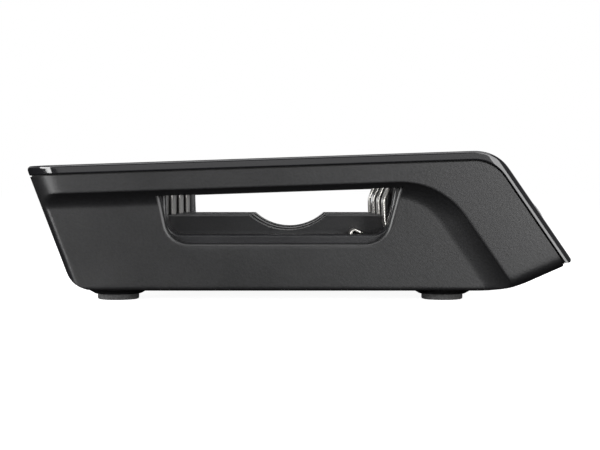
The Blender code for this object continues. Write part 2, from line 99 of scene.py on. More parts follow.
TRAY_X = span("bay_tray", 0)
TRAY_HALF = span("bay_tray", 1)[1]
TRAY_TOP_Z = span("bay_tray", 2)[1]
TRAY_LOW_Z = 7.4
ISLAND_TOP_Z = 18.0
WELL_X = (-30.3, 24.6)
WELL_HALF = 38.4
GROOVE_HALF = 5.4
GROOVE_LOW_Z = 9.2
TRENCH_X = 9.6
NOTCH_X = -2.7
NOTCH_HALF_CHORD = 8.8
NOTCH_DEPTH = 3.4

BAYS = (1, 2, 3, 4)
BAY_CENTRES = {n: sum(span(f"aa_contact_{n}", 1)) / 2 for n in BAYS}
CONTACT_HALF = (span("aa_contact_1", 1)[1] - span("aa_contact_1", 1)[0]) / 2
CONTACT_THICKNESS = 0.45
LEAF_CORNER = 1.2
STRIP_EDGE = 0.1
MERGE = 0.004
POSITIVE_X = -29.75
ISLAND_EDGE = 0.35
BAY_OPENING_X = (-31.0, 22.0)
BAY_OPENING_HALF = 39.4
AA_PATH = [(21.2, 6.8, 0), (21.2, 9.6, 2), (18.5, 16.4, 6), (18.3, 21.6, 4), (20.1, 25.6, 0)]
AAA_PATH = [(15.4, 6.8, 0), (15.2, 8.6, 2), (10.7, 14.0, 1), (11.7, 15.0, 0.7),
            (13.9, 14.0, 0)]
SCREW_PLACES = [(-18.0, -20.0), (-18.0, 20.0), (6.0, -20.0), (6.0, 20.0)]
POST_RADIUS, POST_Z = 3.0, (4.6, 8.0)
BORE_RADIUS, BORE_Z = 1.5, (4.0, 12.4)
INLET = (24.0, 11.2)

SEAL_INSET = 0.7
PLATE_EDGE = 0.55
PLATE_LOW_EDGE = 0.2
PLATE_REAR_RADIUS = 1.3
BASE_X = span("base_cover", 0)
BASE_HALF = span("base_cover", 1)[1]

PANEL_CENTRE_X = 50.3
DISPLAY_SIZE = (50.0, 13.0)
BUTTON_SIZE = (11.0, 6.0)
BUTTON_Y = 34.0
MARK_PITCH = 11.0
MARK_LEVELS = (-2.3, -2.25)


# ---- Outlines in a plane ----

ARC_STEP = radians(5)


def line(point, degrees):
    """A straight line through a point, running at an angle to the horizontal."""
    angle = radians(degrees)
    return Vector(point), Vector((cos(angle), sin(angle)))


def moved(edge, distance):
    """The line moved to its right, which is inwards on the clockwise profile."""
    point, along = edge
    return point + Vector((along.y, -along.x)) * distance, along


def meet(first, second):
    """The point where two lines cross."""
    (a, u), (b, v) = first, second
    cross = u.x * v.y - u.y * v.x
    return a + u * ((b.x - a.x) * v.y - (b.y - a.y) * v.x) / cross


def corner(first, second, radius=0.0):
    point = meet(first, second)
    return point.x, point.y, radius


TOP = line(SHOULDER, TOP_ANGLE)
SLOPE = line((TIP_X, TIP_TOP_Z), SLOPE_ANGLE)
UNDER = line((TIP_X, TIP_LOW_Z), UNDER_ANGLE)
BOTTOM = line((0, BOTTOM_Z), 180)
REAR = line((REAR_FOOT_X, BOTTOM_Z), REAR_ANGLE)


def arc(start, centre, sweep):
    """Points from start, turning round the centre by a signed angle."""
    steps = max(3, round(abs(sweep) / ARC_STEP))
    arm = start - centre
    for i in range(steps + 1):
        angle = sweep * i / steps
        yield centre + Vector((arm.x * cos(angle) - arm.y * sin(angle),
                               arm.x * sin(angle) + arm.y * cos(angle)))


def rounded(corners, closed=True):
    """An outline from (x, y, radius) corners, with an arc at each corner that has a radius."""
    outline = []
    count = len(corners)
    for i, (x, y, radius) in enumerate(corners):
        here = Vector((x, y))
        is_end = not closed and i in (0, count - 1)
        if radius == 0 or is_end:
            outline.append(here)
            continue
        back = (Vector(corners[i - 1][:2]) - here).normalized()
        ahead = (Vector(corners[(i + 1) % count][:2]) - here).normalized()
        half = back.angle(ahead) / 2
        centre = here + (back + ahead).normalized() * radius / sin(half)
        turn = ahead.x * back.y - ahead.y * back.x
        sweep = (pi - 2 * half) * (1 if turn > 0 else -1)
        outline.extend(arc(here + back * radius / tan(half), centre, sweep))
    return outline


def rectangle(x_range, y_range, radius=0.0):
    (x0, x1), (y0, y1) = x_range, y_range
    return rounded([(x0, y0, radius), (x1, y0, radius), (x1, y1, radius), (x0, y1, radius)])


def plate(size, radius=0.0, grow=0.0):
    half_x, half_y = size[0] / 2 + grow, size[1] / 2 + grow
    return rectangle((-half_x, half_x), (-half_y, half_y), radius)


def pill(size, grow=0.0):
    return plate(size, size[1] / 2 + grow - 0.05, grow)


def circle(centre, radius, steps=64):
    return [Vector((centre[0] + radius * cos(2 * pi * i / steps),
                    centre[1] + radius * sin(2 * pi * i / steps))) for i in range(steps)]


def shifted(outline, x):
    return [point + Vector((x, 0)) for point in outline]


def grid_line(count, pull):
    """Fractions from 0 to 1, closer together at both ends as pull nears 1."""
    t = np.linspace(0.0, 1.0, count)
    return t - pull * np.sin(2 * pi * t) / (2 * pi)


def path_lengths(points):
    """The distance along a path to each of its points."""
    return np.concatenate([[0], np.cumsum(np.hypot(*np.diff(points, axis=0).T))])


def along_path(path, fractions):
    """Points at fractions of an open path's length."""
    points = np.array([tuple(p) for p in path])
    lengths = path_lengths(points)
    at = np.asarray(fractions) * lengths[-1]
    return np.stack([np.interp(at, lengths, points[:, k]) for k in (0, 1)], axis=1)


def fall(radius, depth):
    """How far an edge rounded by radius falls back at a depth below its end face."""
    inside = np.clip(radius - depth, 0, radius)
    return radius - np.sqrt(radius ** 2 - inside ** 2)


def soft_min(a, b, reach):
    """The lower of two arrays, with their meeting rounded over about reach."""
    share = np.clip(0.5 + 0.5 * (b - a) / reach, 0, 1)
    return b * (1 - share) + a * share - reach * share * (1 - share)


# ---- Meshes ----

AXES = {
    "XZ": lambda a, b, c: Vector((a, c, b)),
    "XY": lambda a, b, c: Vector((a, b, c)),
    "YZ": lambda a, b, c: Vector((c, a, b)),
}


def link(name, mesh, place=None):
    item = bpy.data.objects.new(name, mesh)
    bpy.context.scene.collection.objects.link(item)
    if place is not None:
        item.matrix_world = place
    return item


def from_bmesh(name, form, place=None):
    mesh = bpy.data.meshes.new(name)
    bmesh.ops.recalc_face_normals(form, faces=form.faces)
    form.to_mesh(mesh)
    form.free()
    return link(name, mesh, place)


def solid(name, rings, place=None):
    """A closed solid through matching rings of points, with flat ends."""
    form = bmesh.new()
    rings = [[form.verts.new(point * MM) for point in ring] for ring in rings]
    form.faces.new(rings[0])
    form.faces.new(rings[-1])
    count = len(rings[0])
    for lower, upper in zip(rings, rings[1:]):
        for i in range(count):
            j = (i + 1) % count
            form.faces.new((lower[i], lower[j], upper[j], upper[i]))
    return from_bmesh(name, form, place)


def loft(name, plane, levels, place=None):
    """A solid through (outline, level) pairs, whose outlines have the same point count."""
    to_space = AXES[plane]
    return solid(name, [[to_space(p.x, p.y, level) for p in outline]
                        for outline, level in levels], place)


def prism(name, plane, outline, low, high, place=None):
    return loft(name, plane, [(outline, low), (outline, high)], place)


def turned(name, profile, steps, centre):
    """A solid of revolution about Z from a list of (radius, height) pairs, low to high."""
    return solid(name, [[Vector((centre[0] + radius * cos(2 * pi * i / steps),
                                 centre[1] + radius * sin(2 * pi * i / steps),
                                 centre[2] + height)) for i in range(steps)]
                        for radius, height in profile])


def carve(target, tools, operation="DIFFERENCE"):
    """Cut a piece with each tool, or join it to each, and throw the tools away."""
    for tool in tools:
        change = target.modifiers.new("carve", "BOOLEAN")
        change.operation = operation
        change.solver = "EXACT"
        change.object = tool
    return settle(target, tools)


def settle(target, tools=()):
    """Apply a piece's modifiers and remove what they used."""
    graph = bpy.context.evaluated_depsgraph_get()
    mesh = bpy.data.meshes.new_from_object(target.evaluated_get(graph))
    target.modifiers.clear()
    old = target.data
    target.data = mesh
    mesh.name = target.name
    bpy.data.meshes.remove(old)
    for tool in tools:
        spare = tool.data
        bpy.data.objects.remove(tool)
        bpy.data.meshes.remove(spare)
    return target


def soften(target, width, angle=40, segments=3):
    """Round the sharp edges of a piece by width millimetres."""
    bevel = target.modifiers.new("edges", "BEVEL")
    bevel.width = width * MM
    bevel.segments = segments
    bevel.limit_method = "ANGLE"
    bevel.angle_limit = radians(angle)
    bevel.harden_normals = False
    return settle(target)


def smooth(target, angle=32):
    """Smooth shading whose normals follow the larger faces, with real corners kept sharp."""
    target.data.shade_smooth()
    target.data.set_sharp_from_angle(angle=radians(angle))
    weigh = target.modifiers.new("normals", "WEIGHTED_NORMAL")
    weigh.keep_sharp = True
    weigh.weight = 80
    return settle(target)


def bent_strip(name, outline, thickness, path, edge, centre_y):
    """A flat strip, its edges rounded, then bent along a path in the XZ plane.

    In the outline, X is the distance along the path and Y is across it. The path runs along the
    middle of the strip's thickness.
    """
    form = bmesh.new()
    ring = [form.verts.new((p.x, p.y, thickness / 2)) for p in outline]
    edges = [form.edges.new((ring[i - 1], ring[i])) for i in range(len(ring))]
    bmesh.ops.triangle_fill(form, use_beauty=True, use_dissolve=False, edges=edges,
                            normal=(0, 0, 1))
    bmesh.ops.dissolve_limit(form, angle_limit=radians(1), verts=form.verts, edges=form.edges)
    grown = bmesh.ops.extrude_face_region(form, geom=list(form.faces))
    low = [v for v in grown["geom"] if isinstance(v, bmesh.types.BMVert)]
    bmesh.ops.translate(form, verts=low, vec=(0, 0, -thickness))
    bmesh.ops.recalc_face_normals(form, faces=form.faces)
    rims = [e for e in form.edges if len(e.link_faces) == 2
            and e.calc_face_angle() > radians(60)
            and abs(e.verts[0].co.z - e.verts[1].co.z) < edge / 10]
    bmesh.ops.bevel(form, geom=rims, offset=edge, segments=3, profile=0.5, affect="EDGES",
                    clamp_overlap=True)
    points = np.array([tuple(p) for p in path])
    lengths = path_lengths(points)
    for station in lengths[1:-1]:
        geom = list(form.verts) + list(form.edges) + list(form.faces)
        bmesh.ops.bisect_plane(form, geom=geom, dist=edge / 100, plane_co=(station, 0, 0),
                               plane_no=(1, 0, 0))
    steps = np.diff(points, axis=0)
    angles = np.unwrap(np.arctan2(steps[:, 1], steps[:, 0]))
    turns = np.concatenate([[angles[0]], (angles[1:] + angles[:-1]) / 2, [angles[-1]]])
    for vert in form.verts:
        s, y, rise = vert.co
        angle = np.interp(s, lengths, turns)
        x = np.interp(s, lengths, points[:, 0]) - rise * sin(angle)
        z = np.interp(s, lengths, points[:, 1]) + rise * cos(angle)
        vert.co = Vector((x, centre_y + y, z)) * MM
    return from_bmesh(name, form)


def ruled_body(name, lower, upper, rows, half_width):
    """A body that is the same on both sides, ruled between two curves of its side view.

    lower and upper are matching arrays of points from rear to front. rows gives each station's
    fractions from lower to upper, and half_width the distance of points from the middle plane.
    """
    side = lower[:, None, :] * (1 - rows[..., None]) + upper[:, None, :] * rows[..., None]
    reach = half_width(side[..., 0], side[..., 1])
    stations, count = rows.shape
    form = bmesh.new()
    sheets = [[[form.verts.new((x * MM, sign * w * MM, z * MM))
                for (x, z), w in zip(line_points, line_reach)]
               for line_points, line_reach in zip(side, reach)] for sign in (-1, 1)]
    right, left = sheets
    for i in range(stations - 1):
        for sheet in sheets:
            for j in range(count - 1):
                form.faces.new((sheet[i][j], sheet[i + 1][j], sheet[i + 1][j + 1],
                                sheet[i][j + 1]))
        for j in (0, count - 1):
            form.faces.new((right[i][j], right[i + 1][j], left[i + 1][j], left[i][j]))
    for i in (0, stations - 1):
        for j in range(count - 1):
            form.faces.new((right[i][j], right[i][j + 1], left[i][j + 1], left[i][j]))
    bmesh.ops.remove_doubles(form, verts=form.verts, dist=MERGE * MM)
    bmesh.ops.dissolve_degenerate(form, edges=form.edges, dist=MERGE * MM / 4)
    return from_bmesh(name, form)


# ---- Materials ----

def material(name, colour, roughness, metallic=0.0, **extra):
    """A Principled material. Returns it with its node tree and shader."""
    made = bpy.data.materials.new(name)
    made.use_nodes = True
    tree = made.node_tree
    shader = tree.nodes["Principled BSDF"]
    shader.inputs["Base Color"].default_value = (*colour, 1.0)
    shader.inputs["Roughness"].default_value = roughness
    shader.inputs["Metallic"].default_value = metallic
    for socket, value in extra.items():
        shader.inputs[socket.replace("_", " ")].default_value = value
    return made, tree, shader


def noise(tree, per_mm, detail=3.0, stretch=(1, 1, 1)):
    """A noise texture in the object's own space, with about per_mm features a millimetre."""
    place = tree.nodes.new("ShaderNodeTexCoord")
    scale = tree.nodes.new("ShaderNodeMapping")
    scale.inputs["Scale"].default_value = stretch
    texture = tree.nodes.new("ShaderNodeTexNoise")
    texture.inputs["Scale"].default_value = per_mm / MM
    texture.inputs["Detail"].default_value = detail
    tree.links.new(place.outputs["Object"], scale.inputs["Vector"])
    tree.links.new(scale.outputs["Vector"], texture.inputs["Vector"])
    return texture.outputs["Fac"]


def vary(tree, socket, factor, low, high, from_low=0.3, from_high=0.7):
    """Drive a socket between two numbers or two colours by a texture's value."""
    if isinstance(low, tuple):
        ramp = tree.nodes.new("ShaderNodeValToRGB")
        ramp.color_ramp.elements[0].position = from_low
        ramp.color_ramp.elements[1].position = from_high
        ramp.color_ramp.elements[0].color = (*low, 1.0)
        ramp.color_ramp.elements[1].color = (*high, 1.0)
        tree.links.new(factor, ramp.inputs["Fac"])
        tree.links.new(ramp.outputs["Color"], socket)
        return
    ranged = tree.nodes.new("ShaderNodeMapRange")
    for key, value in (("From Min", from_low), ("From Max", from_high),
                       ("To Min", low), ("To Max", high)):
        ranged.inputs[key].default_value = value
    tree.links.new(factor, ranged.inputs["Value"])
    tree.links.new(ranged.outputs["Result"], socket)


def bump(tree, shader, factor, height, strength=1.0):
    """Raise the surface by up to height millimetres where the texture is high."""
    node = tree.nodes.new("ShaderNodeBump")
    node.inputs["Distance"].default_value = height * MM
    node.inputs["Strength"].default_value = strength
    last = shader.inputs["Normal"]
    if last.links:
        tree.links.new(last.links[0].from_socket, node.inputs["Normal"])
    tree.links.new(factor, node.inputs["Height"])
    tree.links.new(node.outputs["Normal"], last)


def grained(name, colour, roughness, grain=0.022):
    """Moulded plastic with a fine spark-eroded grain and slightly uneven gloss."""
    made, tree, shader = material(name, colour, roughness, Specular_IOR_Level=0.5)
    fine = noise(tree, 2.2, 3.0)
    broad = noise(tree, 0.06, 2.0)
    lift = tuple(c * 1.35 for c in colour)
    drop = tuple(c * 0.75 for c in colour)
    vary(tree, shader.inputs["Base Color"], fine, drop, lift)
    vary(tree, shader.inputs["Roughness"], broad, roughness - 0.04, roughness + 0.05)
    bump(tree, shader, fine, grain)
    return made


def polished(name, colour, roughness):
    """Gloss plastic with faint moulding ripple and a little dust in its shine."""
    made, tree, shader = material(name, colour, roughness, Coat_Weight=0.35,
                                  Coat_Roughness=0.05)
    ripple = noise(tree, 0.05, 1.0)
    dust = noise(tree, 2.5, 5.0)
    vary(tree, shader.inputs["Roughness"], dust, roughness, roughness + 0.08, 0.5, 0.8)
    vary(tree, shader.inputs["Base Color"], dust, colour, tuple(c * 1.6 for c in colour),
         0.55, 0.8)
    bump(tree, shader, ripple, 0.01, 0.4)
    return made


def plated(name, colour, roughness, stretch=(1, 1, 0.08)):
    """Plated or bare metal strip, with fine rolling marks along one direction."""
    made, tree, shader = material(name, colour, roughness, 1.0)
    marks = noise(tree, 6.0, 4.0, stretch)
    clouds = noise(tree, 0.3, 3.0)
    vary(tree, shader.inputs["Roughness"], marks, roughness - 0.05, roughness + 0.14)
    vary(tree, shader.inputs["Base Color"], clouds, tuple(c * 0.86 for c in colour), colour)
    bump(tree, shader, marks, 0.004)
    return made


def rubber(name, colour):
    made, tree, shader = material(name, colour, 0.8)
    fine = noise(tree, 2.2, 5.0)
    vary(tree, shader.inputs["Base Color"], fine, tuple(c * 0.7 for c in colour),
         tuple(c * 1.7 for c in colour))
    bump(tree, shader, fine, 0.02)
    return made


def circuit(name, colour):
    """Solder mask over tracks: darker green gaps and lighter tracks."""
    made, tree, shader = material(name, colour, 0.35, Coat_Weight=0.3)
    place = tree.nodes.new("ShaderNodeTexCoord")
    tracks = tree.nodes.new("ShaderNodeTexBrick")
    tracks.inputs["Scale"].default_value = 0.35 / MM
    tracks.inputs["Mortar Size"].default_value = 0.035
    tracks.inputs["Color1"].default_value = (*colour, 1.0)
    tracks.inputs["Color2"].default_value = (*(c * 1.35 for c in colour), 1.0)
    tracks.inputs["Mortar"].default_value = (*(c * 0.45 for c in colour), 1.0)
    tree.links.new(place.outputs["Object"], tracks.inputs["Vector"])
    tree.links.new(tracks.outputs["Color"], shader.inputs["Base Color"])
    bump(tree, shader, tracks.outputs["Fac"], 0.03)
    vary(tree, shader.inputs["Roughness"], noise(tree, 1.0), 0.28, 0.45)
    return made


def wound(name, colour):
    """Enamelled wire, wound round Z in a fine even pitch."""
    made, tree, shader = material(name, colour, 0.3, 0.9)
    place = tree.nodes.new("ShaderNodeTexCoord")
    turns = tree.nodes.new("ShaderNodeTexWave")
    turns.bands_direction = "Z"
    turns.inputs["Scale"].default_value = 0.9 / MM
    turns.inputs["Distortion"].default_value = 0.4
    tree.links.new(place.outputs["Object"], turns.inputs["Vector"])
    vary(tree, shader.inputs["Base Color"], turns.outputs["Fac"],
         tuple(c * 0.45 for c in colour), colour, 0.0, 1.0)
    bump(tree, shader, turns.outputs["Fac"], 0.12)
    return made


def clear_plastic(name, tint, roughness):
    made, tree, shader = material(name, tint, roughness, Transmission_Weight=0.92, IOR=1.49)
    vary(tree, shader.inputs["Roughness"], noise(tree, 1.5, 4.0), roughness, roughness + 0.06,
         0.55, 0.8)
    return made


def liquid_crystal(name, colour):
    """A grey-green liquid-crystal cell with a fine speckle."""
    made, tree, shader = material(name, colour, 0.3)
    dots = noise(tree, 5.0, 2.0)
    vary(tree, shader.inputs["Base Color"], dots, tuple(c * 0.92 for c in colour), colour)
    bump(tree, shader, dots, 0.002)
    return made


# ---- Casing ----

LIP_RADIUS = 0.5
PANEL_EDGE = 0.8
UNDER_EDGE = 3.5
HOUSING_STATIONS = 250
RECESS_WALL_CURVE = 2.1
HOOD_BLEND = 0.4
REAR_BLEND = 0.9
CAVITY_RADII = (1, 5.6, 1, 28, 6)
INLET_RADIUS = 4.4
BAY_LEDGE = 0.6
BASE_OPENING_TOP_Z = 7.5
WINDOW_REACH_Y = 30
DISPLAY_SEAT = (46.6, 10.6)
SEAT_TOP = -2.05


def to_right(point_x, point_z, edge):
    """How far points lie to the right of a line, which is inside the profile."""
    point, along = edge
    return (point_x - point.x) * along.y - (point_z - point.y) * along.x


def x_on(edge, z):
    """The X of a line at a height."""
    point, along = edge
    return point.x + (z - point.y) * along.x / along.y


def inside_bend(x, z, top, front, radius):
    """How far points lie inside two lines and the arc that joins them."""
    centre = meet(moved(top, radius), moved(front, radius))
    arm_x, arm_z = x - centre.x, z - centre.y
    in_arc = ((arm_x * top[1].x + arm_z * top[1].y > 0)
              & (arm_x * front[1].x + arm_z * front[1].y < 0))
    straight = np.minimum(to_right(x, z, top), to_right(x, z, front))
    return np.where(in_arc, radius - np.hypot(arm_x, arm_z), straight)


def inside_recess(x, z, share):
    """How far points lie inside the recess outline at a share of its depth."""
    top = moved(line(RECESS_TOP, TOP_ANGLE), share * RECESS_BLEND_TOP)
    front = moved(line(RECESS_FRONT, SLOPE_ANGLE), share * RECESS_BLEND_FRONT)
    return inside_bend(x, z, top, front, RECESS_RADIUS - share * RECESS_BLEND_RADIUS)


def casing_half_width(x, z):
    """The matte body's half width: a hood that overhangs a recessed panel on each side."""
    outer, inner = inside_recess(x, z, 0), inside_recess(x, z, 1)
    share = np.clip(outer / (outer - inner), 0, 1)
    lip = fall(LIP_RADIUS, -outer)
    wall = (RECESS_DEPTH - LIP_RADIUS) * (1 - (1 - share) ** RECESS_WALL_CURVE)
    depth = np.where(outer > 0, LIP_RADIUS + wall, lip)
    under = np.minimum(to_right(x, z, UNDER), to_right(x, z, BOTTOM))
    from_rear = x - x_on(REAR, z)
    panel = HALF_WIDTH - depth - fall(PANEL_EDGE, np.minimum(under, from_rear + PANEL_EDGE))
    hood = HALF_WIDTH - fall(UNDER_EDGE, to_right(x, z, UNDER))
    rear = HALF_WIDTH - fall(REAR_CORNER_RADIUS, from_rear)
    return soft_min(soft_min(panel, hood, HOOD_BLEND), rear, REAR_BLEND)


def casing_rows(lower, upper):
    """Row fractions that put one row on each edge of the recess's curved wall."""
    t = np.linspace(0, 1, 600)
    x = lower[:, 0, None] * (1 - t) + upper[:, 0, None] * t
    z = lower[:, 1, None] * (1 - t) + upper[:, 1, None] * t
    edges = []
    for share in (1, 0):
        inside = inside_recess(x, z, share) > 0
        edges.append(np.where(inside[:, 0], inside.sum(axis=1) / len(t), 0))
    panel_top, hood_edge = edges[0][:, None], edges[1][:, None]
    length = np.maximum(np.hypot(*(upper - lower).T)[:, None], 1)
    lip = np.minimum(LIP_RADIUS / length, 0.3 * (1 - hood_edge))
    above = hood_edge + lip
    parts = [grid_line(26, 0.8)[None, :-1] * panel_top,
             panel_top + np.linspace(0, 1, 16)[None, :-1] * (hood_edge - panel_top),
             hood_edge + (1 - np.cos(np.linspace(0, pi / 2, 7)))[None, :-1] * lip,
             above + grid_line(18, 0.7)[None, :] * (1 - above)]
    return np.concatenate(parts, axis=1)


def casing_shell():
    """The matte body: hood, recessed side panels, windows, and every opening in it."""
    inset = COVER_THICKNESS + COVER_GAP
    top, slope = moved(TOP, inset), moved(SLOPE, inset)
    upper = rounded([corner(REAR, top), corner(top, slope, SHOULDER_RADIUS - inset),
                     corner(slope, UNDER)], closed=False)
    lower = rounded([corner(REAR, top), corner(REAR, BOTTOM, REAR_LOW_RADIUS),
                     corner(BOTTOM, UNDER, UNDER_RADIUS), corner(slope, UNDER)],
                    closed=False)[1:]
    at = np.linspace(0, 1, HOUSING_STATIONS) ** 1.25
    lower, upper = along_path(lower, at), along_path(upper, at)
    shell = ruled_body("casing_shell", lower, upper, casing_rows(lower, upper),
                       casing_half_width)
    hollow = inset + WALL
    edges = [moved(REAR, WALL), moved(TOP, hollow), moved(SLOPE, hollow), moved(UNDER, WALL),
             moved(BOTTOM, WALL)]
    cavity = rounded([corner(edge, after, radius) for edge, after, radius
                      in zip(edges, edges[1:] + edges[:1], CAVITY_RADII)])
    inner = PANEL_Y - WALL
    tools = [prism("cavity", "XZ", cavity, -inner, inner),
             prism("base_opening", "XY",
                   rectangle((BASE_X[0] - COVER_GAP, BASE_X[1] + COVER_GAP),
                             (-BASE_HALF - COVER_GAP, BASE_HALF + COVER_GAP), 4), -1,
                   BASE_OPENING_TOP_Z),
             prism("bay_opening", "XY",
                   rectangle((TRAY_X[0] + BAY_LEDGE, TRAY_X[1] - BAY_LEDGE),
                             (-TRAY_HALF + BAY_LEDGE, TRAY_HALF - BAY_LEDGE), 3), 20, 40),
             prism("inlet", "YZ", circle(INLET, INLET_RADIUS), -70, -40)]
    tools += [window_cutter(WINDOW, side, PANEL_Y, WINDOW_REACH_Y, WINDOW_FLARE)
              for side in (-1, 1)]
    tools += [prism("display_seat", "XY", plate(DISPLAY_SEAT, 0.5), -8, SEAT_TOP, PANEL)]
    tools += [prism("button_seat", "XY", shifted(pill(BUTTON_SIZE, COVER_GAP), side * BUTTON_Y),
                    -6, SEAT_TOP, PANEL) for side in (-1, 1)]
    return smooth(carve(shell, tools))


def opening_outline(flare, low_z, low_x, angles, radius, lift=0.0):
    """A side opening up to the hood plus a lift, its other sides wider by flare."""
    low = line((0, low_z - flare), 0)
    left, right = [line((x + shift, low_z), angle) for x, shift, angle
                   in zip(low_x, (-flare, flare), angles)]
    top = moved(line(RECESS_TOP, TOP_ANGLE), WINDOW_BELOW_HOOD - lift)
    return rounded([corner(left, low, radius + flare), corner(low, right, radius + flare),
                    corner(right, top), corner(top, left)])


def window_cutter(opening, side, face, inner, flare):
    """A side opening's cutter, its lower rim rounded by flare at the face that it opens."""
    levels = [(opening_outline(flare, **opening), side * (face + 8))]
    for i in range(9):
        turn = pi / 2 * i / 8
        levels.append((opening_outline(flare * (1 - sin(turn)), **opening),
                       side * (face - flare * (1 - cos(turn)))))
    levels.append((opening_outline(0, **opening), side * inner))
    return loft("window", "XZ", levels)


def panel_frame():
    """The front slope's frame: X is across the charger, Y up the slope, Z outwards."""
    along = SLOPE[1]
    centre_z = TIP_TOP_Z + (PANEL_CENTRE_X - TIP_X) * along.y / along.x
    up = Vector((-along.x, 0, -along.y))
    out = Vector((-along.y, 0, along.x))
    turn = Matrix((up.cross(out), up, out)).transposed().to_4x4()
    return Matrix.Translation(Vector((PANEL_CENTRE_X, 0, centre_z)) * MM) @ turn


PANEL = panel_frame()


def plate_half_width(x, z):
    """The gloss plate's half width, its long edges rounded and its corners turned."""
    outer = inside_bend(x, z, TOP, SLOPE, SHOULDER_RADIUS)
    edge = fall(PLATE_EDGE, outer) + fall(PLATE_LOW_EDGE, COVER_THICKNESS - outer)
    rear = HALF_WIDTH - fall(REAR_CORNER_RADIUS, x - x_on(REAR, z))
    front = fall(FRONT_CORNER_RADIUS, x_on(SLOPE, z) - x)
    return soft_min(np.full_like(x, HALF_WIDTH), rear, 0.05) - front - edge


def plate_sections():
    """The gloss plate's outer and inner curves, as matching arrays of points."""
    tip = line((TIP_X, TIP_TOP_Z), -90)
    end = line((0, TIP_LOW_Z + COVER_GAP), 180)
    inner_top, inner_slope = moved(TOP, COVER_THICKNESS), moved(SLOPE, COVER_THICKNESS)
    rear = rounded([corner(REAR, inner_top), corner(REAR, TOP, PLATE_REAR_RADIUS),
                    corner(TOP, SLOPE)], closed=False)[:-1]
    outer_bend = rounded([corner(REAR, TOP), corner(TOP, SLOPE, SHOULDER_RADIUS),
                          corner(SLOPE, tip)], closed=False)[1:-1]
    inner_bend = rounded([corner(REAR, inner_top),
                          corner(inner_top, inner_slope, SHOULDER_RADIUS - COVER_THICKNESS),
                          corner(end, inner_slope)], closed=False)[1:-1]
    nose = rounded([corner(TOP, SLOPE), corner(SLOPE, tip, 0.6), corner(tip, end, 0.8),
                    corner(end, inner_slope)], closed=False)[1:]
    over_rear = rear[-1] + Vector((TOP[1].y, -TOP[1].x)) * COVER_THICKNESS
    over_nose = nose[0] + Vector((SLOPE[1].y, -SLOPE[1].x)) * COVER_THICKNESS
    outer = [rear, [rear[-1], outer_bend[0]], outer_bend, [outer_bend[-1], nose[0]], nose]
    inner = [[rear[0], over_rear], [over_rear, inner_bend[0]], inner_bend,
             [inner_bend[-1], over_nose], [over_nose, nose[-1]]]
    counts, pulls = (16, 70, 26, 30, 16), (1, 1.9, 1, 1, 1)
    curves = [np.concatenate([along_path(part, np.linspace(0, 1, count) ** pull)[:-1]
                              for part, count, pull in zip(parts, counts, pulls)]
                             + [np.array([tuple(parts[-1][-1])])])
              for parts in (inner, outer)]
    return curves


def rimmed_cutter(grown, place, low, rim):
    """A cutter from above a face down to low, which rounds the opening's rim in that face."""
    levels = [(grown(rim), 3)]
    for i in range(7):
        turn = pi / 2 * i / 6
        levels.append((grown(rim * (1 - sin(turn))), -rim * (1 - cos(turn))))
    return loft("opening", "XY", levels + [(grown(0), low)], place)


def gloss_plate():
    """The thin polished plate over the top and the front slope."""
    inner, outer = plate_sections()
    rows = np.tile(grid_line(22, 0.85), (len(inner), 1))
    cover = ruled_body("gloss_plate", inner, outer, rows, plate_half_width)
    middle = sum(BAY_OPENING_X) / 2
    along = Vector((TOP[1].x, 0, TOP[1].y))
    turn = Matrix((along, (0, 1, 0), (-along.z, 0, along.x))).transposed().to_4x4()
    top_z = SHOULDER[1] + (middle - SHOULDER[0]) * TOP[1].y / TOP[1].x
    on_top = Matrix.Translation(Vector((middle, 0, top_z)) * MM) @ turn
    bay_size = (BAY_OPENING_X[1] - BAY_OPENING_X[0], 2 * BAY_OPENING_HALF)
    tools = [rimmed_cutter(lambda grow: plate(bay_size, 3.5 + grow, grow), on_top, -5, 0.45),
             rimmed_cutter(lambda grow: plate(DISPLAY_SIZE, 1.5 + grow, COVER_GAP + grow),
                           PANEL, -2.6, 0.25)]
    tools += [rimmed_cutter(lambda grow: shifted(pill(BUTTON_SIZE, COVER_GAP + grow),
                                                 side * BUTTON_Y), PANEL, -2.6, 0.25)
              for side in (-1, 1)]
    return smooth(carve(cover, tools))


def gap_seal():
    """A dark gasket in the joint between the plate and the body, set in from its edge."""
    low, high = COVER_THICKNESS + COVER_GAP - 0.03, COVER_THICKNESS + 0.03
    curves = []
    for inset in (low, high):
        top, slope = moved(TOP, inset), moved(SLOPE, inset)
        path = rounded([corner(moved(REAR, SEAL_INSET), top),
                        corner(top, slope, SHOULDER_RADIUS - inset),
                        corner(slope, moved(UNDER, SEAL_INSET))], closed=False)
        curves.append(along_path(path, np.linspace(0, 1, 160) ** 1.4))
    rows = np.tile(np.array([0.0, 1.0]), (160, 1))
    seal = ruled_body("gap_seal", *curves, rows,
                      lambda x, z: plate_half_width(x, z) - SEAL_INSET)
    tools = [prism("bay", "XY", plate((BAY_OPENING_X[1] - BAY_OPENING_X[0] + 5,
                                       2 * BAY_OPENING_HALF + 5), 5),
                   20, 40, Matrix.Translation(Vector((sum(BAY_OPENING_X) / 2, 0, 0)) * MM)),
             prism("display", "XY", plate(DISPLAY_SIZE, 2, 2), -5, 3, PANEL)]
    tools += [prism("key", "XY", shifted(pill(BUTTON_SIZE, 2), side * BUTTON_Y), -5, 3, PANEL)
              for side in (-1, 1)]
    return smooth(carve(seal, tools))


# ---- Cell bays ----

